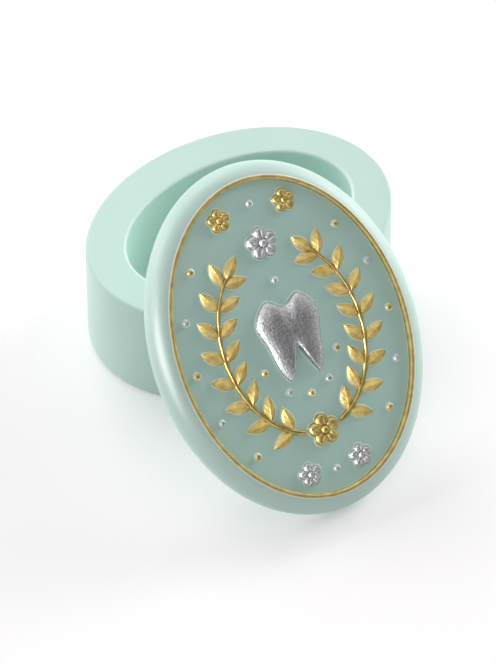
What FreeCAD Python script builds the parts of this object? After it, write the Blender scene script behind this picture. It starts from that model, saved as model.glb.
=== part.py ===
import FreeCAD, Part
import math
import os

# Oval keepsake box: a hollow base and a lift-off lid that leans on its front rim.
# Lengths are in millimetres and angles in degrees. The origin is the middle of the base's foot.

# Base
BOX_LENGTH = 65.0
BOX_WIDTH = 50.4
BASE_HEIGHT = 22.1
FOOT_FLARE = 1.0
FOOT_ROUND = 1.2
RIM_EDGE_ROUND = 0.6
MOUTH_LENGTH = 49.3
MOUTH_WIDTH = 32.9
MOUTH_ROUND = 1.0
FLOOR_THICKNESS = 3.6
FLOOR_ROUND = 3.0

# Lid casting
LID_OVERHANG = 0.5
LID_THICKNESS = 5.5
LID_EDGE_ROUND = 0.4
LID_BAND_HEIGHT = 0.7
RIM_WIDTH = 3.0
TONGUE_DEPTH = 6.0
TONGUE_CLEARANCE = 0.5
TONGUE_ROUND = 0.8

# Inlaid panel and the raised line round it
INLAY_CLEARANCE = 0.08
PANEL_DEPTH = 1.0
PANEL_THICKNESS = 1.2
RING_WIDTH = 1.1
RING_RISE = 0.2
RING_CREST = 0.11

# Relief on the panel
WREATH_SHARE = 0.48
WREATH_OPENING = 16.0
STEM_WIDTH = 1.1
STEM_HEIGHT = 0.8
LEAF_LENGTH = 4.8
LEAF_WIDTH = 2.1
LEAF_RIDGE = 1.0
LEAF_SPREAD = 52.0
LEAF_GAP = 0.3
TOOTH_WIDTH = 12.5
TOOTH_HEIGHT = 15.0
TOOTH_RELIEF = 1.8
CUSP_DIP = 1.5
ROOT_PARTING = 5.4
CROWN_RISE = 0.75
BLOSSOM_RADIUS = 3.05
SMALL_BLOSSOM_RADIUS = 2.2
PETALS = 5
PETAL_SHARE = 0.43
EYE_SHARE = 0.36
EYE_RISE_SHARE = 0.20
BEAD_RADIUS = 0.8
ORNAMENT_GAP = 0.5

# How the lid stands: leaning back on the base, turned a little about the vertical
LID_LEAN = 44.2
LID_TURN = 10.7
LID_SIDE = -14.1
LEAN_GAP = 0.2
STAND_GAP = 0.05

# Half sizes of the ovals, each from the value that drives it
base_half_length = BOX_LENGTH / 2
base_half_width = BOX_WIDTH / 2
mouth_half_length = MOUTH_LENGTH / 2
mouth_half_width = MOUTH_WIDTH / 2
lid_half_length = base_half_length + LID_OVERHANG
lid_half_width = base_half_width + LID_OVERHANG
seat_half_length = lid_half_length - RIM_WIDTH
seat_half_width = lid_half_width - RIM_WIDTH
inlay_half_length = seat_half_length - INLAY_CLEARANCE
inlay_half_width = seat_half_width - INLAY_CLEARANCE
field_half_length = inlay_half_length - RING_WIDTH
field_half_width = inlay_half_width - RING_WIDTH
tooth_half_length = TOOTH_HEIGHT / 2
tooth_half_width = TOOTH_WIDTH / 2
wreath_half_length = tooth_half_length + (field_half_length - tooth_half_length) * WREATH_SHARE
wreath_half_width = tooth_half_width + (field_half_width - tooth_half_width) * WREATH_SHARE
leaf_reach = LEAF_LENGTH * math.sin(math.radians(LEAF_SPREAD))
inner_bead_half_length = (tooth_half_length + wreath_half_length - leaf_reach) / 2
inner_bead_half_width = (tooth_half_width + wreath_half_width - leaf_reach) / 2
outer_bead_half_length = (field_half_length + wreath_half_length + leaf_reach) / 2
outer_bead_half_width = (field_half_width + wreath_half_width + leaf_reach) / 2

# The lid's domed rim, one round from the straight band of its edge up to the seat
rim_drop = LID_THICKNESS - LID_EDGE_ROUND - LID_BAND_HEIGHT
rim_round = (rim_drop ** 2 + RIM_WIDTH ** 2) / (2 * RIM_WIDTH)
rim_top = rim_round - rim_drop

# Tooth outline on its right side, cusp to root, as shares of half its width and half its height
TOOTH_SIDE = [(0.52, 1.0), (0.98, 0.52), (0.82, -0.12), (0.72, -0.64), (0.47, -1.0), (0.23, -0.64)]

# How the tooth's outline draws in as its face rises: share of the relief, share of the outline
TOOTH_DOME = [(0.0, 1.0), (0.45, 0.97), (0.80, 0.86), (1.0, 0.62)]

# Places on the panel, as shares of its half width to the right and its half length upwards
UPPER_BLOSSOM_PLACE = (0.30, 0.83)
LOWER_BLOSSOM_PLACE = (0.24, -0.85)

# Angles of the beads from the top, on an oval inside the wreath and on one outside it
INNER_GOLD_ANGLES = [-115, 115, 180]
INNER_SILVER_ANGLES = [0, -150, 150]
OUTER_GOLD_ANGLES = [-136, -92, -48, 48, 92, 136]
OUTER_SILVER_ANGLES = [-114, -70, 0, 70, 114, 180]

EDGE_TOLERANCE = 1e-4
UP = FreeCAD.Vector(0, 0, 1)


def oval_wire(half_length, half_width, z):
    """Closed oval line at height z, its long axis along X."""
    centre = FreeCAD.Vector(0, 0, z)
    long_end = FreeCAD.Vector(half_length, 0, z)
    short_end = FreeCAD.Vector(0, half_width, z)
    return Part.Wire(Part.Ellipse(long_end, short_end, centre).toShape())


def oval_block(half_length, half_width, low, high):
    """Upright oval block between two heights."""
    face = Part.Face(oval_wire(half_length, half_width, low))
    return face.extrude(UP * (high - low))


def level_edges(shape, z):
    """Edges of a shape that lie flat at height z."""
    def is_level(edge):
        box = edge.BoundBox
        return abs(box.ZMin - z) < EDGE_TOLERANCE and abs(box.ZMax - z) < EDGE_TOLERANCE
    return [edge for edge in shape.Edges if is_level(edge)]


def rounded(shape, radius, z):
    """Shape with every level edge at height z rounded."""
    return shape.makeFillet(radius, level_edges(shape, z))


def build_base():
    """Hollow oval body, a little wider at its foot, with soft edges at the foot, rim and mouth."""
    foot = oval_wire(base_half_length + FOOT_FLARE, base_half_width + FOOT_FLARE, 0)
    rim = oval_wire(base_half_length, base_half_width, BASE_HEIGHT)
    body = Part.makeLoft([foot, rim], True, True)
    body = rounded(body, FOOT_ROUND, 0)
    body = rounded(body, RIM_EDGE_ROUND, BASE_HEIGHT)
    hollow = oval_block(mouth_half_length, mouth_half_width, FLOOR_THICKNESS, BASE_HEIGHT + MOUTH_ROUND)
    hollow = rounded(hollow, FLOOR_ROUND, FLOOR_THICKNESS)
    body = body.cut(hollow)
    rim_middle = (BOX_LENGTH + MOUTH_LENGTH) / 2
    mouth_edges = [edge for edge in level_edges(body, BASE_HEIGHT) if edge.BoundBox.XLength < rim_middle]
    return body.makeFillet(MOUTH_ROUND, mouth_edges)


def build_lid_frame():
    """Lid casting about its crown plane: domed rim, seat for the inlay and tongue underneath."""
    underside = -LID_THICKNESS
    plate = oval_block(lid_half_length, lid_half_width, underside, rim_top)
    plate = rounded(plate, rim_round, rim_top)
    plate = rounded(plate, LID_EDGE_ROUND, underside)
    tongue_end = underside - TONGUE_DEPTH
    tongue = oval_block(mouth_half_length - TONGUE_CLEARANCE, mouth_half_width - TONGUE_CLEARANCE,
                        tongue_end, underside)
    tongue = rounded(tongue, TONGUE_ROUND, tongue_end)
    seat = oval_block(seat_half_length, seat_half_width, -PANEL_DEPTH - PANEL_THICKNESS, rim_top + RING_RISE)
    return plate.fuse(tongue).removeSplitter().cut(seat)


def build_panel():
    """Flat oval panel that fills the floor of the lid's seat."""
    return oval_block(inlay_half_length, inlay_half_width, -PANEL_DEPTH - PANEL_THICKNESS, -PANEL_DEPTH)


def build_ring():
    """Half-round line that stands on the panel's margin."""
    outer = oval_block(inlay_half_length, inlay_half_width, -PANEL_DEPTH, RING_RISE)
    inner = oval_block(field_half_length, field_half_width, -PANEL_DEPTH, RING_RISE)
    return rounded(outer.cut(inner), (RING_WIDTH - RING_CREST) / 2, RING_RISE)


def on_panel(right, up):
    """Point on the panel's face, from a place to the right of and above its middle."""
    return FreeCAD.Vector(up, -right, -PANEL_DEPTH)


def at_share(place):
    """Point on the panel's face, from shares of its half width and half length."""
    return on_panel(place[0] * field_half_width, place[1] * field_half_length)


def set_on_panel(shape, point, heading=0.0):
    """Shape turned about the panel's normal and moved to a point of its face."""
    shape.Placement = FreeCAD.Placement(point, FreeCAD.Rotation(UP, heading))
    return shape


def build_leaf():
    """Pointed leaf along X, its root at the origin: two rounded flanks that meet in a ridge."""
    half_length = LEAF_LENGTH / 2
    offset = (LEAF_LENGTH ** 2 - LEAF_WIDTH ** 2) / (4 * LEAF_WIDTH)
    depth = (half_length ** 2 - LEAF_RIDGE ** 2) / (2 * LEAF_RIDGE)
    radius = math.sqrt(half_length ** 2 + offset ** 2 + depth ** 2)
    corner = FreeCAD.Vector(0, -LEAF_WIDTH / 2, 0)
    leaf = Part.makeBox(LEAF_LENGTH, LEAF_WIDTH, LEAF_RIDGE, corner)
    for side in (-1, 1):
        leaf = leaf.common(Part.makeSphere(radius, FreeCAD.Vector(half_length, side * offset, -depth)))
    return leaf


def wreath_side(side):
    """Line of one side of the wreath, from beside the foot blossom up to its free end."""
    lowest = on_panel(0, -wreath_half_length)
    widest = on_panel(side * wreath_half_width, 0)
    oval = Part.Ellipse(lowest, widest, on_panel(0, 0))
    start = math.asin((BLOSSOM_RADIUS + ORNAMENT_GAP) / wreath_half_width)
    end = math.pi - math.asin(WREATH_OPENING / 2 / wreath_half_width)
    return Part.ArcOfEllipse(oval, start, end).toShape()


def leaf_pitch():
    """Distance between leaf pairs that keeps the gap between neighbours on the wreath's tightest bend."""
    bend = wreath_half_width ** 2 / wreath_half_length
    room = bend * math.sin(math.radians(LEAF_SPREAD)) - LEAF_LENGTH / 2
    return bend * (LEAF_WIDTH + LEAF_GAP) / room


def build_stem(line):
    """Flat band along the wreath's oval, cut off where the line starts and ends."""
    low = -PANEL_DEPTH
    high = low + STEM_HEIGHT
    half = STEM_WIDTH / 2
    outer = oval_block(wreath_half_length + half, wreath_half_width + half, low, high)
    inner = oval_block(wreath_half_length - half, wreath_half_width - half, low, high)
    centre = on_panel(0, 0)
    middle = (line.FirstParameter + line.LastParameter) / 2
    arms = [line.valueAt(place) - centre for place in (line.FirstParameter, middle, line.LastParameter)]
    corners = [centre] + [centre + arm * 2 for arm in arms] + [centre]
    sector = Part.Face(Part.makePolygon(corners)).extrude(UP * STEM_HEIGHT)
    return outer.cut(inner).common(sector)


def build_sprig(side):
    """One side of the open wreath: a flat stem with leaves in pairs and one at its end."""
    line = wreath_side(side)
    pairs = int(line.Length // leaf_pitch())
    growth = [(line.Length - STEM_WIDTH, 0.0)]
    for pair in range(pairs):
        along = line.Length * (pair + 0.5) / pairs
        growth.append((along, -LEAF_SPREAD))
        growth.append((along, LEAF_SPREAD))
    leaves = []
    for along, spread in growth:
        place = line.getParameterByLength(along)
        tangent = line.tangentAt(place)
        heading = math.degrees(math.atan2(tangent.y, tangent.x)) + spread
        leaves.append(set_on_panel(build_leaf(), line.valueAt(place), heading))
    return build_stem(line).fuse(leaves).removeSplitter()


def tooth_outline(drawn_in, z):
    """Closed line round the tooth at height z, drawn in towards the middle of its crown."""
    dip = (0.0, tooth_half_length - CUSP_DIP)
    fork = (0.0, ROOT_PARTING - tooth_half_length)
    right_side = [dip] + [(x * tooth_half_width, y * tooth_half_length) for x, y in TOOTH_SIDE] + [fork]
    halves = []
    for side in (1, -1):
        points = []
        for right, up in right_side:
            drawn_up = CROWN_RISE + (up - CROWN_RISE) * drawn_in
            points.append(FreeCAD.Vector(drawn_up, -side * right * drawn_in, z))
        outward = FreeCAD.Vector(0, -side, 0)
        half = Part.BSplineCurve()
        half.interpolate(Points=points, InitialTangent=outward, FinalTangent=outward * -1)
        halves.append(half.toShape())
    return Part.Wire(halves)


def build_tooth():
    """Tooth with two cusps and two roots, its face domed."""
    levels = [tooth_outline(drawn_in, rise * TOOTH_RELIEF) for rise, drawn_in in TOOTH_DOME]
    return set_on_panel(Part.makeLoft(levels, True, False), on_panel(0, 0))


def dome(radius, point):
    """Half ball standing on a point."""
    return Part.makeSphere(radius, point, UP, 0, 90, 360)


def build_blossom(radius, point):
    """Open flower of domed petals round a raised eye."""
    petal_radius = PETAL_SHARE * radius
    petal_circle = radius - petal_radius
    eye_radius = EYE_SHARE * radius
    eye_rise = EYE_RISE_SHARE * radius
    eye = Part.makeCylinder(eye_radius, eye_rise).fuse(dome(eye_radius, UP * eye_rise))
    petals = []
    for petal in range(PETALS):
        turn = 2 * math.pi * petal / PETALS
        petals.append(dome(petal_radius, FreeCAD.Vector(math.cos(turn), math.sin(turn), 0) * petal_circle))
    return set_on_panel(eye.fuse(petals), point)


def mirrored(place):
    """The same place on the other side of the panel's long axis."""
    return (-place[0], place[1])


def bead_points(half_length, half_width, angles):
    """Points of an oval on the panel, by their angles from the top."""
    turns = [math.radians(angle) for angle in angles]
    return [on_panel(half_width * math.sin(turn), half_length * math.cos(turn)) for turn in turns]


def build_beads(finish, inner_angles, outer_angles):
    """Named small domes of one finish, inside the wreath and then outside it."""
    points = bead_points(inner_bead_half_length, inner_bead_half_width, inner_angles)
    points += bead_points(outer_bead_half_length, outer_bead_half_width, outer_angles)
    return {f"{finish}_bead_{count}": dome(BEAD_RADIUS, point) for count, point in enumerate(points, 1)}


def lid_placement(lid_frame):
    """Where the lid stands: lowest edge on the floor, tongue against the base's front rim."""
    upright = FreeCAD.Rotation(UP, 90)
    lean = FreeCAD.Rotation(FreeCAD.Vector(1, 0, 0), LID_LEAN)
    turn = FreeCAD.Rotation(UP, -LID_TURN)
    rotation = turn.multiply(lean).multiply(upright)
    turned = lid_frame.copy()
    turned.Placement = FreeCAD.Placement(FreeCAD.Vector(0, 0, 0), rotation)
    height = STAND_GAP - turned.optimalBoundingBox(False, False).ZMin
    normal = rotation.multVec(UP)
    edge_length = base_half_length - RIM_EDGE_ROUND
    edge_width = base_half_width - RIM_EDGE_ROUND
    reach = math.hypot(edge_length * normal.x, edge_width * normal.y)
    rim_reach = reach + (BASE_HEIGHT - RIM_EDGE_ROUND) * normal.z + RIM_EDGE_ROUND
    face_reach = rim_reach + LEAN_GAP + LID_THICKNESS + TONGUE_DEPTH
    forward = (face_reach - LID_SIDE * normal.x - height * normal.z) / normal.y
    return FreeCAD.Placement(FreeCAD.Vector(LID_SIDE, forward, height), rotation)


def build_lid_pieces():
    """Every piece that moves with the lid, about the lid's crown plane."""
    pieces = {
        "lid_frame": build_lid_frame(),
        "medallion_panel": build_panel(),
        "gold_border_ring": build_ring(),
        "left_sprig": build_sprig(-1),
        "right_sprig": build_sprig(1),
        "tooth_ornament": build_tooth(),
        "foot_blossom": build_blossom(BLOSSOM_RADIUS, on_panel(0, -wreath_half_length)),
        "top_blossom": build_blossom(BLOSSOM_RADIUS, on_panel(0, wreath_half_length)),
        "upper_left_blossom": build_blossom(SMALL_BLOSSOM_RADIUS, at_share(mirrored(UPPER_BLOSSOM_PLACE))),
        "upper_right_blossom": build_blossom(SMALL_BLOSSOM_RADIUS, at_share(UPPER_BLOSSOM_PLACE)),
        "lower_left_blossom": build_blossom(SMALL_BLOSSOM_RADIUS, at_share(mirrored(LOWER_BLOSSOM_PLACE))),
        "lower_right_blossom": build_blossom(SMALL_BLOSSOM_RADIUS, at_share(LOWER_BLOSSOM_PLACE)),
    }
    pieces.update(build_beads("gold", INNER_GOLD_ANGLES, OUTER_GOLD_ANGLES))
    pieces.update(build_beads("silver", INNER_SILVER_ANGLES, OUTER_SILVER_ANGLES))
    return pieces


def main():
    """Write every piece to its own file."""
    os.makedirs("parts", exist_ok=True)
    lid_pieces = build_lid_pieces()
    stand = lid_placement(lid_pieces["lid_frame"])
    pieces = {"base_body": build_base()}
    for name, shape in lid_pieces.items():
        shape.Placement = stand.multiply(shape.Placement)
        pieces[name] = shape
    for name, shape in pieces.items():
        shape.exportStep(f"parts/{name}.step")
        print(name, len(shape.Solids), shape.isValid(), round(shape.Volume, 2))


main()
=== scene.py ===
import logging
import math
from bisect import bisect_left
from collections.abc import Callable, Mapping, Sequence
from dataclasses import dataclass, field, replace
from enum import Enum
from itertools import accumulate

import bmesh
import bpy
from bpy.types import Material, Node, NodeSocket, Object, ShaderNodeTree
from mathutils import Matrix, Vector


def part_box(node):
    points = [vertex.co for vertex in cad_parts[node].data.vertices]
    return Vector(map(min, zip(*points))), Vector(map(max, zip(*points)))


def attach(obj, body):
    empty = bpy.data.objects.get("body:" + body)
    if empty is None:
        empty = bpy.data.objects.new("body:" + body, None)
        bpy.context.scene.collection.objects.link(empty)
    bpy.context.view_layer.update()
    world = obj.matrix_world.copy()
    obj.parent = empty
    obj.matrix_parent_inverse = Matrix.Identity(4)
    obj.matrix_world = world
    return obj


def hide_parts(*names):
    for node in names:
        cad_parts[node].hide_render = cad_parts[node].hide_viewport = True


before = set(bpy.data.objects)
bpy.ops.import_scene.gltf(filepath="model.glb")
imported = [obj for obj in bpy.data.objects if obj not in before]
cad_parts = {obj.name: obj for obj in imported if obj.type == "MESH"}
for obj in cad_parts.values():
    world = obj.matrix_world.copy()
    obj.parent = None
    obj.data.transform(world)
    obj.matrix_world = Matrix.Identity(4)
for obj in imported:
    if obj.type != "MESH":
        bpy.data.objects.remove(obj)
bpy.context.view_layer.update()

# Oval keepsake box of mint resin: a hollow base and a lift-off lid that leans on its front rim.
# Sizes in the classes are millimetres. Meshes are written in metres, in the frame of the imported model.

MM = 0.001
SMOOTH_ANGLE = math.radians(50)
PAINT_ATTRIBUTE = "paint"
BEADS_OF_EACH = 9

Pair = tuple[float, float]
Point = tuple[float, float, float]
Ring = list[Point]
Colour = tuple[float, float, float]
Paints = Sequence[Sequence[float]]
Sockets = Mapping[str, NodeSocket]

log = logging.getLogger("keepsake_box")


class Body(Enum):
    """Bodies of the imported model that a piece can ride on."""

    BASE = "base"
    LID = "lid"


class Side(Enum):
    """The two sides of the lid's long axis, as seen from its face."""

    LEFT = -1
    RIGHT = 1


class Slot(Enum):
    """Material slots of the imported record."""

    RESIN = "mint_resin"
    PANEL = "sage_paint"
    GOLD = "antique_gold"
    SILVER = "brushed_silver"


@dataclass
class Shell:
    """Closed mesh under construction, in millimetres, with a share of paint at each point."""

    points: list[Point] = field(default_factory=list)
    faces: list[tuple[int, ...]] = field(default_factory=list)
    paint: list[float] = field(default_factory=list)

    def loft(self, rings: Sequence[Ring], paints: Paints, joined: bool = False) -> "Shell":
        """Adds a closed skin through rings. A full ring at either end is capped with a flat face.

        Args:
            rings: Rings of equal length, or poles of one point.
            paints: Share of paint at each point of each ring.
            joined: Whether the last ring joins the first instead of being capped.

        Returns:
            The same shell.
        """
        rows = []
        for ring, paint in zip(rings, paints):
            rows.append(range(len(self.points), len(self.points) + len(ring)))
            self.points.extend(ring)
            self.paint.extend(paint)
        for lower, upper in zip(rows, rows[1:] + rows[:1] if joined else rows[1:]):
            count = max(len(lower), len(upper))
            for here in range(count):
                corners = [row[step % count % len(row)] for row, step in
                           ((lower, here), (lower, here + 1), (upper, here + 1), (upper, here))]
                self.faces.append(tuple(dict.fromkeys(corners)))
        if not joined:
            self.faces += [tuple(end) for end in (rows[0], rows[-1]) if len(end) > 1]
        return self

    def to_object(self, name: str, place: Callable[[Point], Vector]) -> Object:
        """Makes a Blender object of the shell.

        Args:
            name: Name of the piece.
            place: Where a point of the shell lies in the frame, in metres.

        Returns:
            The new object, linked to the scene.
        """
        mesh = bpy.data.meshes.new(name)
        mesh.from_pydata([place(point) for point in self.points], [], self.faces)
        layer = mesh.attributes.new(PAINT_ATTRIBUTE, "FLOAT", "POINT")
        layer.data.foreach_set("value", self.paint)
        work = bmesh.new()
        work.from_mesh(mesh)
        bmesh.ops.recalc_face_normals(work, faces=work.faces)
        work.to_mesh(mesh)
        work.free()
        mesh.shade_smooth()
        mesh.set_sharp_from_angle(angle=SMOOTH_ANGLE)
        piece = bpy.data.objects.new(name, mesh)
        bpy.context.scene.collection.objects.link(piece)
        return piece


def even(ring: Ring, value: float) -> list[float]:
    """The same share of paint for every point of a ring."""
    return [value] * len(ring)


def smooth_step(low: float, high: float, value: float) -> float:
    """Soft ramp from 0 at low to 1 at high."""
    share = min(max((value - low) / (high - low), 0.0), 1.0)
    return share * share * (3 - 2 * share)


def bell(value: float, width: float) -> float:
    """Bell curve of height 1 about zero."""
    return math.exp(-((value / width) ** 2))


def spread_line(line: Sequence[Pair], distance: float) -> list[Pair]:
    """Moves a closed clockwise line outwards.

    Args:
        line: Points of the line in order.
        distance: How far each point moves along the line's normal.

    Returns:
        The moved points.
    """
    moved = []
    for before, (x, y), after in zip([*line[-1:], *line], line, [*line[1:], line[0]]):
        along_x, along_y = after[0] - before[0], after[1] - before[1]
        size = math.hypot(along_x, along_y)
        moved.append((x - distance * along_y / size, y + distance * along_x / size))
    return moved


@dataclass(frozen=True)
class Oval:
    """Ellipse with its long axis along X."""

    half_length: float
    half_width: float
    segments: int = 256

    def grown(self, amount: float) -> "Oval":
        """The oval with both half sizes larger by an amount."""
        return Oval(self.half_length + amount, self.half_width + amount)

    def ring(self, offset: float, height: float) -> Ring:
        """Points of the line parallel to the oval.

        Args:
            offset: Distance outwards from the oval.
            height: Height of the ring.

        Returns:
            Points in order round the oval.
        """
        ring: Ring = []
        for step in range(self.segments):
            turn = 2 * math.pi * step / self.segments
            across = self.half_width * math.cos(turn)
            along = self.half_length * math.sin(turn)
            size = math.hypot(across, along)
            x = self.half_length * math.cos(turn) + offset * across / size
            y = self.half_width * math.sin(turn) + offset * along / size
            ring.append((x, y, height))
        return ring

    def rings(self, rows: Sequence[Pair]) -> list[Ring]:
        """Parallel lines by their offset and height."""
        return [self.ring(offset, height) for offset, height in rows]


def quarter_round(radius: float, start: float, steps: int, out: float, up: float) -> list[Pair]:
    """Offsets and heights along a quarter circle, by its first angle in degrees and its centre."""
    turns = [math.radians(start + 90 * step / steps) for step in range(steps + 1)]
    return [(out + radius * math.cos(turn), up + radius * math.sin(turn)) for turn in turns]


@dataclass(frozen=True)
class LidPlane:
    """Frame of the leaning lid: its crown plane, with X up the slope and Z along the face's normal."""

    origin: Vector
    lean: float = 44.2
    turn: float = 10.7

    def axes(self) -> Matrix:
        """Rotation from the lid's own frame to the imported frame."""
        turned, leant, upright = (Matrix.Rotation(math.radians(angle), 3, axis)
                                  for angle, axis in ((-self.turn, "Z"), (self.lean, "X"), (90, "Z")))
        return turned @ leant @ upright

    def place(self, point: Point) -> Vector:
        """Where a point of the lid's own frame, in millimetres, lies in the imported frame."""
        return self.origin + self.axes() @ (Vector(point) * MM)

    def local_box(self, node: str) -> tuple[Vector, Vector]:
        """Extent of a node in the lid's own frame.

        Args:
            node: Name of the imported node.

        Returns:
            Lowest and highest corner in millimetres.
        """
        back = self.axes().transposed()
        corners = [back @ (vertex.co - self.origin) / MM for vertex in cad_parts[node].data.vertices]
        return Vector(map(min, zip(*corners))), Vector(map(max, zip(*corners)))


class NodeTree:
    """Thin wrapper that adds and joins shader nodes."""

    mix_inputs = (0, 6, 7)
    mix_result = 2

    def __init__(self, tree: ShaderNodeTree) -> None:
        """Wraps a node tree."""
        self.tree = tree

    def add(self, kind: str, **settings: object) -> Node:
        """Adds a node.

        Args:
            kind: Node type without the ShaderNode prefix.
            settings: Properties to set on the node.

        Returns:
            The new node.
        """
        node = self.tree.nodes.new("ShaderNode" + kind)
        for name, value in settings.items():
            setattr(node, name, value)
        return node

    def put(self, socket: NodeSocket, value: object) -> None:
        """Sets an input, or joins it to a socket.

        Args:
            socket: The input.
            value: Its value, or the socket that it is joined to.
        """
        if isinstance(value, NodeSocket):
            self.tree.links.new(value, socket)
        else:
            socket.default_value = value

    def set(self, node: Node, **values: object) -> Node:
        """Sets or joins inputs of a node.

        Args:
            node: Node whose inputs are set.
            values: Input names, with underscores for spaces, and their values.

        Returns:
            The same node.
        """
        for name, value in values.items():
            self.put(node.inputs[name.replace("_", " ")], value)
        return node

    def group(self, shared: ShaderNodeTree, **values: object) -> Node:
        """Places a shared group with values or sockets for its inputs."""
        return self.set(self.add("Group", node_tree=shared), **values)

    def math(self, operation: str, *values: object) -> NodeSocket:
        """Adds a math node.

        Args:
            operation: Name of the operation.
            values: Numbers or sockets for its inputs in order.

        Returns:
            Its result.
        """
        node = self.add("Math", operation=operation)
        for socket, value in zip(node.inputs, values):
            self.put(socket, value)
        return node.outputs[0]

    def mix(self, share: object, first: object, second: object) -> NodeSocket:
        """Mixes two colours.

        Args:
            share: Share of the second colour, a number or a socket.
            first: Colour or socket at share 0.
            second: Colour or socket at share 1.

        Returns:
            The mixed colour.
        """
        node = self.add("Mix", data_type="RGBA")
        for index, value in zip(self.mix_inputs, (share, first, second)):
            self.put(node.inputs[index], (*value, 1.0) if isinstance(value, tuple) else value)
        return node.outputs[self.mix_result]

    def ramp(self, value: NodeSocket, low: float, high: float) -> NodeSocket:
        """Adds a soft ramp from 0 at low to 1 at high."""
        node = self.add("MapRange", interpolation_type="SMOOTHSTEP")
        return self.set(node, Value=value, From_Min=low, From_Max=high).outputs[0]

    def noise(self, scale: object, detail: float, roughness: float) -> NodeSocket:
        """Adds a noise texture over the piece's own coordinates.

        Args:
            scale: Number of cells in a metre, or a socket.
            detail: Octaves.
            roughness: How strong the finer octaves are.

        Returns:
            The noise value.
        """
        place = self.add("TexCoord").outputs["Object"]
        node = self.add("TexNoise")
        return self.set(node, Vector=place, Scale=scale, Detail=detail, Roughness=roughness).outputs[0]


class SharedEffects:
    """Shader node groups that several finishes place with their own values."""

    middle = 0.5
    mottle_noise = (3.0, 0.55)
    mottle_window = (0.22, 0.78)
    grain_noise = (2.0, 0.6)
    edge_noise = (3.0, 0.6)
    edge_window = (0.38, 0.62)

    def __init__(self) -> None:
        """Builds every group once."""
        self.mottle = self.build_mottle()
        self.grain = self.build_grain()
        self.brushed_edge = self.build_brushed_edge()

    def new_group(self, name: str, inputs: Sequence[str],
                  outputs: Sequence[str]) -> tuple[NodeTree, Sockets, Sockets]:
        """Starts a node group. Sockets whose name ends in Colour hold colours, the others numbers.

        Args:
            name: Name of the group.
            inputs: Name of each input.
            outputs: Name of each output.

        Returns:
            The wrapped tree, its inputs by name and the sockets that its outputs are joined to.
        """
        group = bpy.data.node_groups.new(name, "ShaderNodeTree")
        for labels, way in ((inputs, "INPUT"), (outputs, "OUTPUT")):
            for label in labels:
                kind = "NodeSocketColor" if label.endswith("Colour") else "NodeSocketFloat"
                group.interface.new_socket(name=label, in_out=way, socket_type=kind)
        entry, leave = group.nodes.new("NodeGroupInput"), group.nodes.new("NodeGroupOutput")
        return NodeTree(group), entry.outputs, leave.inputs

    def build_mottle(self) -> ShaderNodeTree:
        """Drifts a colour softly over the surface, as in poured and hand-rubbed resin.

        Returns:
            The group.
        """
        inputs = ("Colour", "Deep Colour", "Scale", "Amount")
        tree, given, wanted = self.new_group("soft_mottle", inputs, ("Colour",))
        cloud = tree.ramp(tree.noise(given["Scale"], *self.mottle_noise), *self.mottle_window)
        share = tree.math("MULTIPLY", cloud, given["Amount"])
        tree.put(wanted["Colour"], tree.mix(share, given["Colour"], given["Deep Colour"]))
        return tree.tree

    def build_grain(self) -> ShaderNodeTree:
        """Gives a fine grain as a height and as a roughness about a middle value.

        Returns:
            The group.
        """
        inputs = ("Scale", "Middle Roughness", "Roughness Swing")
        tree, given, wanted = self.new_group("fine_grain", inputs, ("Height", "Roughness"))
        grain = tree.noise(given["Scale"], *self.grain_noise)
        swing = tree.math("MULTIPLY", tree.math("SUBTRACT", grain, self.middle), given["Roughness Swing"])
        tree.put(wanted["Height"], grain)
        tree.put(wanted["Roughness"], tree.math("ADD", given["Middle Roughness"], swing))
        return tree.tree

    def build_brushed_edge(self) -> ShaderNodeTree:
        """Turns the share of paint into a slightly ragged brushed edge.

        Returns:
            The group.
        """
        tree, given, wanted = self.new_group("brushed_edge", ("Paint", "Scale", "Ragged"), ("Mask",))
        stray = tree.math("SUBTRACT", tree.noise(given["Scale"], *self.edge_noise), self.middle)
        drawn = tree.math("ADD", given["Paint"], tree.math("MULTIPLY", stray, given["Ragged"]))
        tree.put(wanted["Mask"], tree.ramp(drawn, *self.edge_window))
        return tree.tree


# Pale mint on the base's mouth edge and on the bare feet of the silver reliefs: a painted highlight, paler
# than the resin.
MINT_PAINTED_HIGHLIGHT: Colour = (0.80, 0.95, 0.91)
# Pale cream on the bare feet of the gold reliefs and along the gold line's outer flank: a painted highlight,
# paler than the resin.
CREAM_PAINTED_HIGHLIGHT: Colour = (0.90, 0.94, 0.78)


def new_material(name: str) -> tuple[Material, NodeTree, Node]:
    """Makes a material with a plain shader.

    Args:
        name: Name of the material.

    Returns:
        The material, its nodes and its shader node.
    """
    made = bpy.data.materials.new(name)
    made.use_nodes = True
    return made, NodeTree(made.node_tree), made.node_tree.nodes["Principled BSDF"]


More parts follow.
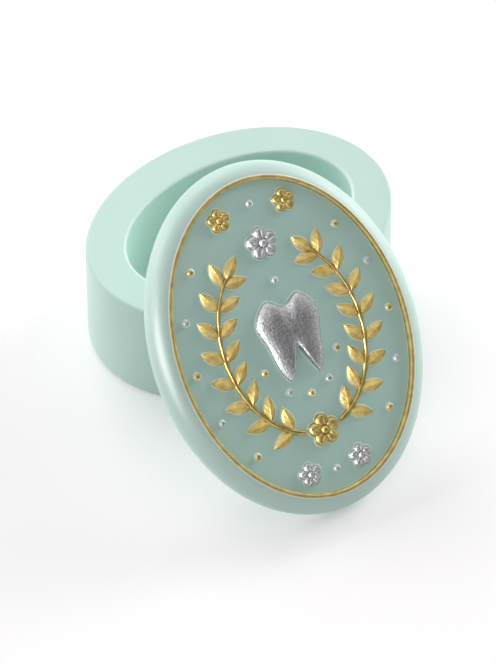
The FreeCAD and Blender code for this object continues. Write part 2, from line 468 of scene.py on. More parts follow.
@dataclass(frozen=True)
class ResinFinish:
    """Matte cast resin: a drifting colour with a fine grain, and a painted highlight laid paler where the
    paint attribute marks an edge.
    """

    name: str
    slot: Slot
    colour: Colour
    deep_colour: Colour
    painted_highlight_colour: Colour = MINT_PAINTED_HIGHLIGHT
    roughness: float = 0.36
    roughness_swing: float = 0.12
    specular: float = 0.4
    mottle_scale: float = 60.0
    mottle_amount: float = 0.6
    grain_scale: float = 2600.0
    grain_depth: float = 0.02
    grain_strength: float = 0.35

    def coat(self, tree: NodeTree, effects: SharedEffects, paint: NodeSocket,
             colour: NodeSocket) -> dict[str, object]:
        """Inputs of the shader, by name, that lay the painted highlight colour on the drifting one."""
        return {"Base_Color": tree.mix(paint, colour, self.painted_highlight_colour), "Specular_IOR_Level": self.specular}

    def material(self, effects: SharedEffects) -> Material:
        """Builds the finish.

        Args:
            effects: Shared node groups.

        Returns:
            The material.
        """
        made, tree, shader = new_material(self.name)
        paint = tree.add("Attribute", attribute_name=PAINT_ATTRIBUTE).outputs["Fac"]
        mottle = tree.group(effects.mottle, Colour=(*self.colour, 1.0), Deep_Colour=(*self.deep_colour, 1.0),
                            Scale=self.mottle_scale, Amount=self.mottle_amount)
        grain = tree.group(effects.grain, Scale=self.grain_scale, Middle_Roughness=self.roughness,
                           Roughness_Swing=self.roughness_swing)
        bump = tree.set(tree.add("Bump"), Strength=self.grain_strength, Distance=self.grain_depth * MM,
                        Height=grain.outputs["Height"])
        tree.set(shader, Roughness=grain.outputs["Roughness"], Normal=bump.outputs["Normal"],
                 **self.coat(tree, effects, paint, mottle.outputs["Colour"]))
        return made


@dataclass(frozen=True)
class MetalPaint(ResinFinish):
    """Satin metallic paint rubbed over raised resin, with bare resin left round its foot, coloured paler
    there as a painted highlight.
    """

    roughness_swing: float = 0.25
    mottle_scale: float = 700.0
    mottle_amount: float = 0.9
    grain_scale: float = 4600.0
    grain_depth: float = 0.05
    grain_strength: float = 0.7
    edge_scale: float = 1500.0
    edge_ragged: float = 0.35

    def coat(self, tree: NodeTree, effects: SharedEffects, paint: NodeSocket,
             colour: NodeSocket) -> dict[str, object]:
        """Inputs of the shader, by name, that lay metal up to a ragged edge on bare resin, which takes the
        paler painted-highlight colour.
        """
        mask = tree.group(effects.brushed_edge, Paint=paint, Scale=self.edge_scale,
                          Ragged=self.edge_ragged).outputs["Mask"]
        return {"Base_Color": tree.mix(mask, self.painted_highlight_colour, colour), "Metallic": mask}


RESIN = ResinFinish("mint_cast_resin", Slot.RESIN, (0.61, 0.81, 0.74), (0.57, 0.77, 0.695))
# The panel is the casting's resin made a little darker and greener: painted shade of the recess it sits in.
PANEL = ResinFinish("sage_panel_paint", Slot.PANEL, (0.56, 0.80, 0.73), (0.52, 0.76, 0.69), roughness=0.45)
GOLD = MetalPaint("antique_gold_paint", Slot.GOLD, (0.63, 0.49, 0.185), (0.33, 0.235, 0.068), CREAM_PAINTED_HIGHLIGHT,
                  roughness=0.38)
GOLD_LINE = replace(GOLD, name="gold_line_paint", colour=(0.70, 0.57, 0.26), deep_colour=(0.46, 0.35, 0.13),
                    roughness=0.52)
SILVER = MetalPaint("brushed_silver_paint", Slot.SILVER, (0.66, 0.66, 0.675), (0.25, 0.25, 0.26),
                    roughness=0.34, mottle_scale=3600.0, grain_scale=3800.0, grain_depth=0.12,
                    grain_strength=1.0)


class Workshop:
    """Finishes by their look, and the last steps that every piece goes through."""

    def __init__(self) -> None:
        """Builds the shared groups. Materials follow as pieces need them."""
        self.effects = SharedEffects()
        self.materials: dict[str, Material] = {}

    def hand_over(self, piece: Object, finish: ResinFinish, body: Body, nodes: Sequence[str]) -> None:
        """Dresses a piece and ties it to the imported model.

        Args:
            piece: The finished mesh object.
            finish: What it is made of or painted with.
            body: Body that it moves with.
            nodes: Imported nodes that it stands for.
        """
        if finish.name not in self.materials:
            self.materials[finish.name] = finish.material(self.effects)
        piece.data.materials.append(self.materials[finish.name])
        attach(piece, body.value)
        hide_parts(*nodes)
        log.info("%s: %d faces on %s", piece.name, len(piece.data.polygons), body.value)


@dataclass
class Base:
    """Hollow oval base with soft edges at its foot, rim and mouth."""

    workshop: Workshop
    node: str = "base_body"
    foot_flare: float = 1.0
    foot_round: float = 1.2
    foot_inset: float = 6.0
    rim_round: float = 0.6
    mouth: Oval = Oval(24.65, 16.45)
    mouth_round: float = 0.7
    floor: float = 3.6
    floor_round: float = 3.0
    floor_inset: float = 4.0
    wall_shares: tuple[float, ...] = (0.02, 0.25, 0.5, 0.75, 0.98)
    hollow_shares: tuple[float, ...] = (0.02, 0.35, 0.7, 0.98)
    round_steps: int = 7
    support: float = 0.25

    def rings(self) -> list[Ring]:
        """Lays out the skin.

        Returns:
            Rings from the middle of the underside to the middle of the inner floor.
        """
        low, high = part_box(self.node)
        size = (high - low) / MM
        foot, top = Oval(size.x / 2, size.y / 2), size.z
        wall_foot, wall_top = self.foot_round, top - self.rim_round
        outside = [(-self.foot_round - inset, 0) for inset in (self.foot_inset, self.support)]
        outside += quarter_round(self.foot_round, -90, self.round_steps, -self.foot_round, wall_foot)
        outside += [(0, wall_foot + share * (wall_top - wall_foot)) for share in self.wall_shares]
        outside += quarter_round(self.rim_round, 0, self.round_steps, -self.rim_round, wall_top)
        flared = [(offset - self.foot_flare * height / top, height) for offset, height in outside]
        rim = foot.grown(-self.foot_flare).ring(-self.rim_round - self.support, top)
        hollow_top, hollow_foot = top - self.mouth_round, self.floor + self.floor_round
        inside = [(self.mouth_round + self.support, top)]
        inside += quarter_round(self.mouth_round, 90, self.round_steps, self.mouth_round, hollow_top)
        inside += [(0, hollow_top + share * (hollow_foot - hollow_top)) for share in self.hollow_shares]
        floor_edge = quarter_round(self.floor_round, -90, self.round_steps, -self.floor_round, hollow_foot)
        inside += reversed(floor_edge)
        inside += [(-self.floor_round - inset, self.floor) for inset in (self.support, self.floor_inset)]
        return foot.rings(flared) + [rim] + self.mouth.rings(inside)

    def mouth_highlight(self, ring: Ring) -> float:
        """Share of painted highlight on a ring: 1 halfway round the mouth's edge and 0 off it."""
        share = (max(point[0] for point in ring) - self.mouth.half_length) / self.mouth_round
        return 1 - (2 * share - 1) ** 2 if 0 < share < 1 else 0.0

    def dress(self) -> None:
        """Builds the base and hands it over."""
        rings = self.rings()
        shell = Shell().loft(rings, [even(ring, self.mouth_highlight(ring)) for ring in rings])
        piece = shell.to_object("keepsake_base", lambda point: Vector(point) * MM)
        self.workshop.hand_over(piece, RESIN, Body.BASE, [self.node])


@dataclass
class Lid:
    """Lid casting with its inlaid panel and the raised gold line round it."""

    workshop: Workshop
    plane: LidPlane
    thickness: float = 5.5
    edge_round: float = 0.4
    crown_reach: float = 3.0
    crown_drop: float = 4.4
    crown_steps: int = 24
    tongue_depth: float = 6.0
    tongue: Oval = Oval(24.15, 15.95)
    tongue_round: float = 0.8
    tongue_inset: float = 5.0
    inlay_clearance: float = 0.08
    panel_depth: float = 1.0
    panel_thickness: float = 1.2
    panel_insets: tuple[float, ...] = (0.2, 2.0, 6.0, 10.0)
    seat_inset: float = 6.0
    gilt_width: float = 0.95
    gilt_window: Pair = (0.4, 0.85)
    gilt_foot: Pair = (0.3, 0.7)
    ring_rise: float = 0.2
    outer_spring: float = -0.15
    inner_spring: float = -0.35
    round_steps: int = 8
    support: float = 0.2

    def inlay(self) -> Oval:
        """Outline of the inlaid panel."""
        low, high = self.plane.local_box("medallion_panel")
        return Oval((high.x - low.x) / 2, (high.y - low.y) / 2)

    def crown_line(self) -> list[Pair]:
        """Slope of the crown from the lid's widest line in to the seat.

        Returns:
            Distance outwards from the widest line and height about the crown plane.
        """
        radius = (self.crown_drop ** 2 + self.crown_reach ** 2) / (2 * self.crown_reach)
        sweep = math.acos(self.crown_drop / radius) - math.pi / 2
        turns = [math.pi / 2 + sweep * step / self.crown_steps for step in range(self.crown_steps + 1)]
        return [(radius * (math.sin(turn) - 1), radius * math.cos(turn) - self.crown_drop) for turn in turns]

    def casting_rings(self) -> list[Ring]:
        """Lays out the casting.

        Returns:
            Rings from the middle of its tongue to the middle of its seat.
        """
        seat = self.inlay().grown(self.inlay_clearance)
        edge = seat.grown(self.crown_reach)
        under = -self.thickness
        end = under - self.tongue_depth
        foot = end + self.tongue_round
        tongue = [(-self.tongue_round - inset, end) for inset in (self.tongue_inset, self.support)]
        tongue += quarter_round(self.tongue_round, -90, self.round_steps, -self.tongue_round, foot)
        tongue += [(0, foot + self.support), (0, under - self.support), (0, under), (self.support, under)]
        rim = [(-self.edge_round - self.support, under)]
        turn_up = under + self.edge_round
        rim += quarter_round(self.edge_round, -90, self.round_steps, -self.edge_round, turn_up)
        rim += self.crown_line()
        bottom = -self.panel_depth - self.panel_thickness
        inner = [(0, bottom), (-self.seat_inset, bottom)]
        return self.tongue.rings(tongue) + edge.rings(rim) + seat.rings(inner)

    def panel_rings(self) -> list[Ring]:
        """Lays out the inlaid panel.

        Returns:
            Rings from the middle of its back to the middle of its face.
        """
        top = -self.panel_depth
        back = top - self.panel_thickness
        levels = [(-self.seat_inset, back), (0, back), (0, top)]
        return self.inlay().rings(levels + [(-inset, top) for inset in self.panel_insets])

    def plain_piece(self, name: str, rings: Sequence[Ring]) -> Object:
        """Makes a piece of the lid that has one colour all over."""
        return Shell().loft(rings, [even(ring, 0.0) for ring in rings]).to_object(name, self.plane.place)

    def ring_section(self) -> list[Point]:
        """Line round the raised gold line's section.

        Returns:
            Distance outwards from the inlay's outline, height about the crown plane and share of paint.
        """
        foot = -self.panel_depth
        outer, inner = self.inlay_clearance, -self.gilt_width
        crest = (outer + inner) / 2
        # The outer flank stays bare, so it takes the pale cream colour: a painted highlight along the line's
        # outer edge.
        line = [(outer, foot, 0.0), (outer, self.outer_spring, 0.0)]
        for step in range(1, self.round_steps):
            turn = math.pi / 2 * step / self.round_steps
            rise = self.outer_spring + (self.ring_rise - self.outer_spring) * math.sin(turn)
            paint = smooth_step(*self.gilt_window, step / self.round_steps)
            line.append((crest + (outer - crest) * math.cos(turn), rise, paint))
        for step in range(self.round_steps + 1):
            turn = math.pi / 2 * step / self.round_steps
            rise = self.inner_spring + (self.ring_rise - self.inner_spring) * math.cos(turn)
            line.append((crest + (inner - crest) * math.sin(turn), rise, 1.0))
        height, paint = self.gilt_foot
        return line + [(inner, foot + height, paint), (inner, foot, 0.0)]

    def build_ring(self) -> Object:
        """Makes the raised line round the panel.

        Returns:
            The new object.
        """
        section = self.ring_section()
        rings = self.inlay().rings([row[:2] for row in section])
        paints = [even(ring, paint) for ring, (_, _, paint) in zip(rings, section)]
        return Shell().loft(rings, paints, joined=True).to_object("gold_border", self.plane.place)

    def dress(self) -> None:
        """Builds the lid's own pieces and hands them over."""
        casting = self.plain_piece("lid_casting", self.casting_rings())
        self.workshop.hand_over(casting, RESIN, Body.LID, ["lid_frame"])
        panel = self.plain_piece("medallion_inlay", self.panel_rings())
        self.workshop.hand_over(panel, PANEL, Body.LID, ["medallion_panel"])
        self.workshop.hand_over(self.build_ring(), GOLD_LINE, Body.LID, ["gold_border_ring"])


@dataclass
class Ornament:
    """Base of everything that stands on the panel, with heights above the panel's face."""

    workshop: Workshop
    plane: LidPlane
    node: str = ""
    finish: ResinFinish = GOLD
    piece_name: str = ""
    panel_depth: float = 1.0
    # The bare flank round each relief's foot takes its finish's pale colour: a painted highlight halo.
    flank: float = 0.24
    shoulder: float = 0.35
    shoulder_height: float = 0.75
    edge_paints: tuple[float, ...] = (0.0, 0.1, 0.75)

    def on_panel(self, point: Point) -> Vector:
        """Where a point above the panel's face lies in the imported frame."""
        return self.plane.place((point[0], point[1], point[2] - self.panel_depth))

    def hand_over(self, shell: Shell) -> None:
        """Makes the piece of its finished shell and hands it over."""
        piece = shell.to_object(self.piece_name or f"{self.node}_relief", self.on_panel)
        self.workshop.hand_over(piece, self.finish, Body.LID, [self.node])


@dataclass
class Sprig(Ornament):
    """One side of the open wreath: a tapering stem with ridged leaves in pairs and one at its end."""

    side: Side = Side.LEFT
    wreath: Oval = Oval(17.734, 13.58)
    foot_half_gap: float = 3.55
    opening: float = 16.0
    line_steps: int = 2000
    stem_width: float = 1.1
    stem_height: float = 0.8
    stem_taper: float = 0.35
    stem_sink: float = 0.15
    stem_fullness: float = 0.8
    stem_paint: Pair = (0.05, 0.35)
    stem_steps: int = 96
    knot_swell: float = 0.12
    pairs: int = 8
    end_leaf_share: float = 0.97
    leaf_length: float = 4.8
    leaf_width: float = 2.1
    leaf_belly: float = 0.92
    leaf_roundness: float = 1.9
    leaf_ridge: float = 1.0
    ridge_fullness: float = 0.7
    blade_fullness: float = 0.85
    leaf_edge: float = 0.4
    root_share: float = 0.5
    tip_share: float = 0.25
    leaf_spread: float = 52.0
    vein_depth: float = 0.07
    vein_count: int = 5
    vein_slant: float = 1.1
    ridge_clear: float = 0.25
    leaf_steps: int = 20
    leaf_columns: int = 12

    def at(self, angle: float) -> Point:
        """X, Y and heading of the stem line at an angle from the wreath's lowest point, in radians."""
        length, width = self.wreath.half_length, self.side.value * self.wreath.half_width
        return (-length * math.cos(angle), -width * math.sin(angle),
                math.atan2(-width * math.cos(angle), length * math.sin(angle)))

    def angles_by_length(self, shares: Sequence[float]) -> list[float]:
        """Angles of the wreath at shares of the stem's length.

        Args:
            shares: Shares from 0 at the foot to 1 at the free end.

        Returns:
            Angle from the lowest point for each share, in radians.
        """
        start = math.asin(self.foot_half_gap / self.wreath.half_width)
        end = math.pi - math.asin(self.opening / 2 / self.wreath.half_width)
        angles = [start + (end - start) * step / self.line_steps for step in range(self.line_steps + 1)]
        spots = [self.at(angle) for angle in angles]
        chords = [math.hypot(after[0] - here[0], after[1] - here[1]) for here, after in zip(spots, spots[1:])]
        run = [0.0, *accumulate(chords)]
        return [angles[bisect_left(run, share * run[-1])] for share in shares]

    def add_stem(self, shell: Shell) -> None:
        """Adds the half-round stem, thinner towards its free end, with a small knot at each pair.

        Args:
            shell: Mesh to add to.
        """
        shares = [step / self.stem_steps for step in range(self.stem_steps + 1)]
        rings: list[Ring] = []
        paints: list[list[float]] = []
        for share, angle in zip(shares, self.angles_by_length(shares)):
            x, y, heading = self.at(angle)
            knot = 1 + self.knot_swell * math.cos(2 * math.pi * (share * self.pairs - 0.5))
            half = self.stem_width / 2 * (1.0 - self.stem_taper * share) * knot
            crest = self.stem_height * (1.0 - self.stem_sink * share)
            ring: Ring = []
            for step in range(self.leaf_columns + 1):
                turn = math.pi * step / self.leaf_columns
                out = half * math.cos(turn)
                up = crest * math.sin(turn) ** self.stem_fullness
                ring.append((x - out * math.sin(heading), y + out * math.cos(heading), up))
            rings.append(ring)
            paints.append([smooth_step(*self.stem_paint, point[2]) for point in ring])
        shell.loft(rings, paints)

    def leaf_section(self, share: float) -> list[Pair]:
        """Line over the leaf at a share of its length.

        Args:
            share: 0 at the root and 1 at the tip.

        Returns:
            Pairs of sideways place and height, from one foot over the ridge to the other.
        """
        swell = 1 - abs(2 * share ** self.leaf_belly - 1) ** self.leaf_roundness
        half = self.leaf_width / 2 * swell
        crest = self.leaf_edge + (self.leaf_ridge - self.leaf_edge) * swell ** self.ridge_fullness
        shoulder = (half + self.shoulder * self.flank, self.shoulder_height * self.leaf_edge)
        line = [(-half - self.flank, 0.0), (-shoulder[0], shoulder[1])]
        for column in range(self.leaf_columns + 1):
            across = 2 * column / self.leaf_columns - 1
            blade = (1 - abs(across)) ** self.blade_fullness
            beat = self.vein_count * share - self.vein_slant * abs(across)
            wave = 0.5 + 0.5 * math.cos(2 * math.pi * beat)
            vein = self.vein_depth * wave * swell * smooth_step(0.0, self.ridge_clear, abs(across))
            line.append((half * across, self.leaf_edge + (crest - self.leaf_edge) * blade - vein))
        return line + [shoulder, (half + self.flank, 0.0)]

    def add_leaf(self, shell: Shell, angle: float, spread: float) -> None:
        """Adds one ridged leaf.

        Args:
            shell: Mesh to add to.
            angle: Angle of its root on the wreath, in radians.
            spread: Degrees that it turns away from the stem.
        """
        root_x, root_y, heading = self.at(angle)
        heading += math.radians(spread)
        ahead = (math.cos(heading), math.sin(heading))

        def spot(along: float, across: float, up: float) -> Point:
            """Place on the panel of a point of the leaf."""
            return (root_x + along * ahead[0] - across * ahead[1],
                    root_y + along * ahead[1] + across * ahead[0], up)

        rings: list[Ring] = [[spot(0, 0, self.leaf_edge * self.root_share)]]
        paints: list[list[float]] = [[1.0]]
        for step in range(1, self.leaf_steps):
            share = step / self.leaf_steps
            line = self.leaf_section(share)
            rings.append([spot(share * self.leaf_length, across, up) for across, up in line])
            blade = [1.0] * (len(line) - 2 * len(self.edge_paints))
            paints.append([*self.edge_paints, *blade, *reversed(self.edge_paints)])
        rings.append([spot(self.leaf_length + self.flank, 0, self.leaf_edge * self.tip_share)])
        paints.append([0.0])
        shell.loft(rings, paints)

    def dress(self) -> None:
        """Builds the sprig and hands it over."""
        shell = Shell()
        self.add_stem(shell)
        shares = [(pair + 0.5) / self.pairs for pair in range(self.pairs)]
        for angle in self.angles_by_length(shares):
            for spread in (-self.leaf_spread, self.leaf_spread):
                self.add_leaf(shell, angle, spread)
        self.add_leaf(shell, self.angles_by_length([self.end_leaf_share])[0], 0.0)
        self.hand_over(shell)


@dataclass
class Domed(Ornament):
    """Relief with a short flank all round and a face that closes at one top point."""

    foot: float = 0.5
    rings_in: int = 22
    crowding: float = 2.2

    def dome(self, skirt: Callable[[float, float], Ring], face: Callable[[float], Ring], top: Point) -> None:
        """Builds the relief and hands it over.

        Args:
            skirt: Ring about the outline, by its distance outwards and its height.
            face: Ring of the face, by its share of the way from the top point to the outline.
            top: Where the face closes.
        """
        rings = [skirt(self.flank, 0.0), skirt(self.shoulder * self.flank, self.shoulder_height * self.foot)]
        rings += [face(1 - (step / self.rings_in) ** self.crowding) for step in range(self.rings_in)]
        rings.append([top])
        shares = [*self.edge_paints, *[1.0] * (len(rings) - len(self.edge_paints))]
        self.hand_over(Shell().loft(rings, [even(ring, share) for ring, share in zip(rings, shares)]))


@dataclass(frozen=True)
class Groove:
    """Soft upright groove in the tooth's face, that deepens from one height to another."""

    depth: float
    width: float
    start: float
    full: float

    def at(self, right: float, up: float) -> float:
        """Depth of the groove at a place of the face."""
        return self.depth * bell(right, self.width) * smooth_step(self.start, self.full, up)


@dataclass
class Tooth(Domed):
    """Small domed tooth with two cusps and two roots."""

    node: str = "tooth_ornament"
    piece_name: str = "tooth_relief"
    finish: ResinFinish = SILVER
    outline_side: tuple[Pair, ...] = ((0.52, 1.0), (0.98, 0.52), (0.82, -0.12),
                                      (0.72, -0.64), (0.47, -1.0), (0.23, -0.64))
    width: float = 12.5
    height: float = 15.0
    relief: float = 1.8
    cusp_dip: float = 1.5
    root_parting: float = 5.4
    crown_rise: float = 0.75
    flatness: int = 4
    valley: Groove = Groove(0.34, 1.1, 0.8, 5.5)
    fork: Groove = Groove(0.30, 0.9, 1.2, -1.8)
    lobe_rise: float = 0.14
    lobe_place: Pair = (2.7, 3.2)
    lobe_size: Pair = (2.0, 2.6)
    samples: int = 16

    def outline(self) -> list[Pair]:
        """Draws the smooth closed line round the tooth.

        Returns:
            Places to the right of and above its middle.
        """
        half_width, half_height = self.width / 2, self.height / 2
        right = [(x * half_width, y * half_height) for x, y in self.outline_side]
        left = [(-x, y) for x, y in reversed(right)]
        corners = [(0.0, half_height - self.cusp_dip), *right, (0.0, self.root_parting - half_height), *left]
        count = len(corners)
        line = []
        for index in range(count):
            before, here, after, beyond = (corners[(index + step) % count] for step in (-1, 0, 1, 2))
            for sample in range(self.samples):
                share = sample / self.samples
                line.append(tuple(self.spline(share, *axis) for axis in zip(before, here, after, beyond)))
        return line

    def spline(self, share: float, before: float, here: float, after: float, beyond: float) -> float:
        """Catmull-Rom value between two of four neighbours."""
        swing = after - before + share * (2 * before - 5 * here + 4 * after - beyond
                                          + share * (3 * (here - after) + beyond - before))
        return here + 0.5 * share * swing

    def crown(self, right: float, up: float, drawn_in: float) -> float:
        """Height of the tooth's face.

        Args:
            right: Place to the right of the tooth's middle.
            up: Place above its middle.
            drawn_in: Share of the way from the crown's middle to the outline.

        Returns:
            Height above the panel.
        """
        dome = (1 - drawn_in ** self.flatness) ** 0.5
        place, size = self.lobe_place, self.lobe_size
        both = bell(right - place[0], size[0]) + bell(right + place[0], size[0])
        lobes = self.lobe_rise * both * bell(up - place[1], size[1])
        shaped = lobes - self.valley.at(right, up) - self.fork.at(right, up)
        return self.foot + (self.relief - self.foot) * dome + shaped * dome

    def dress(self) -> None:
        """Builds the tooth and hands it over."""
        low, high = self.plane.local_box(self.node)
        line = self.outline()
        heights = [up for _, up in line]
        middle_y = (low.y + high.y) / 2
        shift = (low.x + high.x) / 2 - (max(heights) + min(heights)) / 2

        def skirt(spread: float, height: float) -> Ring:
            """Ring about the outline."""
            return [(shift + up, middle_y - right, height) for right, up in spread_line(line, spread)]

        def face(drawn_in: float) -> Ring:
            """Ring of the face, drawn in to the crown's middle."""
            drawn = [(right * drawn_in, self.crown_rise + (up - self.crown_rise) * drawn_in)
                     for right, up in line]
            return [(shift + up, middle_y - right, self.crown(right, up, drawn_in)) for right, up in drawn]

        self.dome(skirt, face, (shift + self.crown_rise, middle_y, self.crown(0.0, self.crown_rise, 0.0)))


@dataclass
class Blossom(Domed):
    """Open flower of five domed petals, each with a crease, round a raised eye."""

    petals: int = 5
    petal_share: float = 0.43
    petal_rise_share: float = 0.36
    crease_share: float = 0.09
    crease_width: float = 0.2
    crease_window: Pair = (0.2, 0.8)
    eye_share: float = 0.26
    eye_foot_share: float = 0.22
    eye_rise_share: float = 0.22
    foot: float = 0.35
    columns: int = 120
    rings_in: int = 18
    crowding: float = 1.3

    def reach(self, turn: float) -> Pair:
        """Edge of the petals in one direction.

        Args:
            turn: Direction from the middle, in radians.

        Returns:
            Distance to the edge as a share of the radius, and the angle from the nearest petal's axis.
        """
        pitch = 2 * math.pi / self.petals
        away = (turn + pitch / 2) % pitch - pitch / 2
        circle = 1 - self.petal_share
        edge = circle * math.cos(away) + math.sqrt(self.petal_share ** 2 - (circle * math.sin(away)) ** 2)
        return edge, away

    def level(self, distance: float, turn: float) -> float:
        """Height of the flower as a share of its radius.

        Args:
            distance: Share of the radius from the middle.
            turn: Direction from the middle, in radians.

        Returns:
            Height above its foot.
        """
        _, away = self.reach(turn)
        circle = 1 - self.petal_share
        along = (distance * math.cos(away) - circle) / self.petal_share
        across = distance * math.sin(away) / self.petal_share
        swell = math.sqrt(max(1 - along * along - across * across, 0.0))
        fade = 1 - smooth_step(*self.crease_window, along)
        crease = self.crease_share * bell(across, self.crease_width) * fade
        petal = self.petal_rise_share * swell - crease
        eye = 0.0
        if distance < self.eye_share:
            dome = math.sqrt(1 - (distance / self.eye_share) ** 2)
            eye = self.eye_foot_share + self.eye_rise_share * dome
        return max(petal, eye)

    def dress(self) -> None:
        """Builds the blossom and hands it over."""
        low, high = self.plane.local_box(self.node)
        circle = 1 - self.petal_share
        span = 1 + circle * math.cos(math.pi / self.petals) + self.petal_share
        radius = (high.x - low.x) / span
        middle_x, middle_y = high.x - radius, (low.y + high.y) / 2
        turns = [2 * math.pi * column / self.columns for column in range(self.columns)]

        def spot(distance: float, turn: float, height: float) -> Point:
            """Place on the panel by distance and direction from the blossom's middle."""
            return (middle_x + distance * math.cos(turn), middle_y + distance * math.sin(turn), height)

        def height(distance: float, turn: float) -> float:
            """Height above the panel by share of the radius and direction."""
            return self.foot + (radius - self.foot) * self.level(distance, turn)

        def skirt(spread: float, up: float) -> Ring:
            """Ring about the petals' edge."""
            return [spot(radius * self.reach(turn)[0] + spread, turn, up) for turn in turns]

        def face(share: float) -> Ring:
            """Ring of the face, drawn in to the middle."""
            spans = [(turn, self.reach(turn)[0] * share) for turn in turns]
            return [spot(radius * distance, turn, height(distance, turn)) for turn, distance in spans]

        self.dome(skirt, face, (middle_x, middle_y, height(0.0, 0.0)))


@dataclass
class Bead(Ornament):
    """Small raised dot with a dab of paint a little off its middle."""

    number: int = 1
    columns: int = 28
    rings_in: int = 10
    dab_offset: float = 0.14
    dab_turn_step: float = 2.4
    dab_window: Pair = (0.5, 0.8)

    def dress(self) -> None:
        """Builds the bead and hands it over."""
        low, high = self.plane.local_box(self.node)
        radius = (high.x - low.x) / 2
        middle_x, middle_y = (low.x + high.x) / 2, (low.y + high.y) / 2
        turn = self.number * self.dab_turn_step
        dab = (self.dab_offset * math.cos(turn), self.dab_offset * math.sin(turn))
        ways = [2 * math.pi * column / self.columns for column in range(self.columns)]
        rings: list[Ring] = []
        paints: list[list[float]] = []
        for step in range(self.rings_in):
            rise = math.pi / 2 * step / self.rings_in
            up = radius * math.sin(rise)
            flat = [(math.cos(rise) * math.cos(way), math.cos(rise) * math.sin(way)) for way in ways]
            rings.append([(middle_x + radius * x, middle_y + radius * y, up) for x, y in flat])
            # Bare resin outside the dab takes the finish's pale colour: a painted highlight.
            paints.append([1 - smooth_step(*self.dab_window, math.hypot(x - dab[0], y - dab[1]))
                           for x, y in flat])
        self.hand_over(Shell().loft([*rings, [(middle_x, middle_y, radius)]], [*paints, [1.0]]))


@dataclass(frozen=True)
class Softbox:
    """Area lamp that looks at the box, by its direction and its share of the plain light level."""

    name: str
    direction: Point
    distance: float
    size: float
    share: float
    gloss_only: bool = False
    no_gloss_on: tuple[str, ...] = ()

    def lamp(self, name: str, target: Vector) -> Object:
        """Adds one lamp to the scene.

        Args:
            name: Name of the lamp.
            target: Point that it looks at.

        Returns:
            The lamp's object.
        """
        lamp = bpy.data.lights.new(name, "AREA")
        lamp.shape = "SQUARE"
        lamp.size = self.size
        lamp.energy = self.share * math.pi ** 2 * self.distance ** 2
        holder = bpy.data.objects.new(name, lamp)
        way = Vector(self.direction).normalized()
        holder.location = target + way * self.distance
        holder.rotation_euler = way.to_track_quat("Z", "Y").to_euler()
        bpy.context.scene.collection.objects.link(holder)
        return holder

    def build(self, target: Vector) -> None:
        """Adds the softbox, as a matte and a gloss lamp where some objects have no reflection of it.

        Args:
            target: Point that it looks at.
        """
        if not self.no_gloss_on:
            self.lamp(self.name, target).visible_diffuse = not self.gloss_only
            return
        if not self.gloss_only:
            self.lamp(self.name, target).visible_glossy = False
        gloss = self.lamp(f"{self.name}_gloss", target)
        gloss.visible_diffuse = False
        flagged = bpy.data.collections.new(f"{self.name}_flag")
        for name in self.no_gloss_on:
            flagged.objects.link(bpy.data.objects[name])
        for row in flagged.collection_objects:
            row.light_linking.link_state = "EXCLUDE"
        gloss.light_linking.receiver_collection = flagged


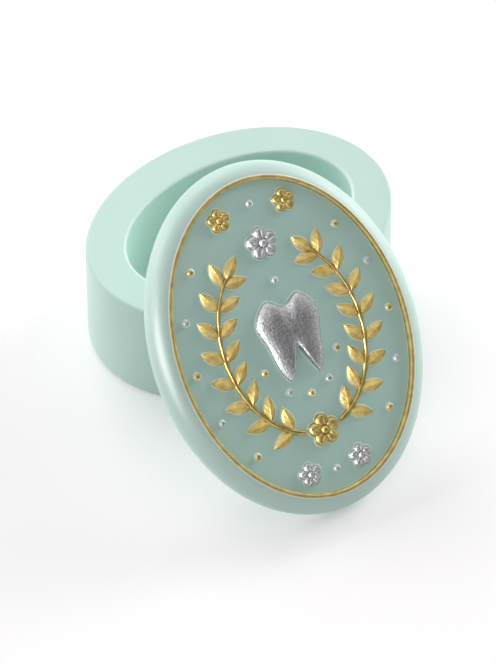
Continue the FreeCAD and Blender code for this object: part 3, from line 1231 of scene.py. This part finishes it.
@dataclass
class Studio:
    """White sweep, soft lamps, a dark card in front of the lid and the camera."""

    plane: LidPlane
    azimuth: float = -36.958
    elevation: float = 46.706
    distance: float = 353.512
    slide: float = 1.432
    rise: float = -7.334
    lens: float = 93.185
    sensor: float = 36.0
    clip_start: float = 0.01
    target: Point = (0.0, 0.0, 0.02)
    square: tuple[Pair, ...] = ((-1, -1), (1, -1), (1, 1), (-1, 1))
    matte: float = 0.9
    floor_half: float = 2.0
    floor_white: Colour = (0.925, 0.9, 0.905)
    floor_bounce: float = 0.8
    floor_middle: Point = (-0.019, -0.005, 0.0)
    fade_start: float = 0.055
    fade_end: float = 0.17
    floor_lift: float = 0.24
    world_level: float = 0.3
    card_direction: Point = (0.167, -0.754, 0.634)
    card_half: float = 0.5
    card_distance: float = 0.75
    card_black: Colour = (0.02, 0.02, 0.02)
    softboxes: tuple[Softbox, ...] = (
        Softbox("right_softbox", (0.94, -0.04, 0.31), 0.9, 0.55, 0.78, no_gloss_on=("keepsake_base",)),
        Softbox("left_softbox", (-0.6, 0.75, 0.27), 0.9, 0.6, 0.5, no_gloss_on=("keepsake_base",)),
        Softbox("back_softbox", (0.1, 0.78, 0.62), 1.0, 0.6, 0.34),
        Softbox("top_softbox", (0.05, -0.12, 0.99), 1.0, 0.8, 0.1),
        Softbox("left_strip", (-0.97, 0.08, 0.14), 0.9, 0.5, 2.0, gloss_only=True,
                no_gloss_on=("keepsake_base", "gold_border")),
        Softbox("front_softbox", (-0.9, -0.4, 0.2), 1.0, 0.6, 0.08),
    )

    def white_rays(self, tree: NodeTree) -> NodeSocket:
        """Mask of the rays that see the backdrop: from the camera, mirrored or through glass."""
        camera, gloss, glass = (tree.add("LightPath").outputs[f"Is {kind} Ray"]
                                for kind in ("Camera", "Glossy", "Transmission"))
        return tree.math("MAXIMUM", tree.math("MAXIMUM", camera, gloss), glass)

    def build_world(self) -> None:
        """White surroundings, weaker as a source of light than as a backdrop."""
        world = bpy.data.worlds.new("white_surroundings")
        bpy.context.scene.world = world
        world.use_nodes = True
        tree = NodeTree(world.node_tree)
        back = world.node_tree.nodes["Background"]
        seen = self.white_rays(tree)
        level = tree.math("ADD", tree.math("MULTIPLY", seen, 1 - self.world_level), self.world_level)
        tree.set(back, Color=(1, 1, 1, 1), Strength=level)

    def flat_piece(self, name: str, corners: Sequence[Vector]) -> Object:
        """Adds a flat stage piece.

        Args:
            name: Name of the piece.
            corners: Its four corners in order.

        Returns:
            The new object.
        """
        mesh = bpy.data.meshes.new(name)
        mesh.from_pydata(corners, [], [(0, 1, 2, 3)])
        piece = bpy.data.objects.new(name, mesh)
        bpy.context.scene.collection.objects.link(piece)
        return piece

    def build_floor(self) -> None:
        """White floor that keeps the shadow and throws back only part of the light."""
        half = self.floor_half
        floor = self.flat_piece("sweep_floor", [Vector((x * half, y * half, 0)) for x, y in self.square])
        made, tree, shader = new_material("white_sweep")
        seen = self.white_rays(tree)
        spot = tree.add("VectorMath", operation="DISTANCE")
        tree.put(spot.inputs[0], tree.add("NewGeometry").outputs["Position"])
        tree.put(spot.inputs[1], self.floor_middle)
        away = tree.ramp(spot.outputs["Value"], self.fade_start, self.fade_end)
        shown = tree.mix(away, self.floor_white, (0.0, 0.0, 0.0))
        lift = tree.mix(away, (self.floor_lift,) * 3, (1.0, 1.0, 1.0))
        colour = tree.mix(seen, (self.floor_bounce,) * 3, shown)
        glow = tree.mix(seen, (0.0, 0.0, 0.0), lift)
        tree.set(shader, Base_Color=colour, Emission_Color=glow, Emission_Strength=1.0, Roughness=self.matte,
                 Specular_IOR_Level=0.0)
        floor.data.materials.append(made)

    def build_card(self) -> None:
        """Dark card that faces the lid, so that its metals keep dark cores."""
        facing = Vector(self.card_direction).normalized()
        across = facing.orthogonal().normalized()
        along = facing.cross(across)
        middle = self.plane.origin + facing * self.card_distance
        corners = [middle + (across * x + along * y) * self.card_half for x, y in self.square]
        card = self.flat_piece("dark_card", corners)
        card.visible_camera = False
        card.visible_diffuse = False
        card.visible_shadow = False
        made, tree, shader = new_material("black_flock")
        tree.set(shader, Base_Color=(*self.card_black, 1.0), Roughness=self.matte)
        card.data.materials.append(made)

    def build_camera(self) -> None:
        """Camera at the photograph's viewing angle."""
        azimuth, elevation = math.radians(self.azimuth), math.radians(self.elevation)
        flat = math.cos(elevation)
        back = Vector((math.sin(azimuth) * flat, -math.cos(azimuth) * flat, math.sin(elevation)))
        right = Vector((math.cos(azimuth), math.sin(azimuth), 0))
        up = back.cross(right)
        camera = bpy.data.cameras.new("photo_camera")
        camera.lens = self.lens
        camera.sensor_width = self.sensor
        camera.clip_start = self.clip_start
        holder = bpy.data.objects.new("photo_camera", camera)
        turn = Matrix((right, up, back)).transposed().to_4x4()
        place = (back * self.distance + right * self.slide + up * self.rise) * MM
        holder.matrix_world = Matrix.Translation(place) @ turn
        bpy.context.scene.collection.objects.link(holder)
        bpy.context.scene.camera = holder

    def build(self) -> None:
        """Sets up everything round the box."""
        bpy.context.scene.view_settings.view_transform = "Standard"
        self.build_world()
        self.build_floor()
        self.build_card()
        for softbox in self.softboxes:
            softbox.build(Vector(self.target))
        self.build_camera()


def lid_plane() -> LidPlane:
    """Finds the lid's frame from where its panel lies.

    Returns:
        The frame of the lid.
    """
    low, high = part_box("medallion_panel")
    lift = (Lid.panel_depth + Lid.panel_thickness / 2) * MM
    return LidPlane((low + high) / 2 + LidPlane(Vector()).axes().col[2] * lift)


def main() -> None:
    """Builds the box piece by piece and the studio round it."""
    logging.basicConfig(level=logging.INFO, format="%(message)s")
    workshop = Workshop()
    plane = lid_plane()
    Base(workshop).dress()
    Lid(workshop, plane).dress()
    for side in Side:
        Sprig(workshop, plane, f"{side.name.lower()}_sprig", side=side).dress()
    Tooth(workshop, plane).dress()
    gold_blossoms = ("foot_blossom", "upper_left_blossom", "upper_right_blossom")
    silver_blossoms = ("top_blossom", "lower_left_blossom", "lower_right_blossom")
    for finish, nodes in ((GOLD, gold_blossoms), (SILVER, silver_blossoms)):
        for node in nodes:
            Blossom(workshop, plane, node, finish).dress()
    for finish, metal in ((GOLD, "gold"), (SILVER, "silver")):
        for number in range(1, BEADS_OF_EACH + 1):
            Bead(workshop, plane, f"{metal}_bead_{number}", finish, number=number).dress()
    Studio(plane).build()


if __name__ == "__main__":
    main()
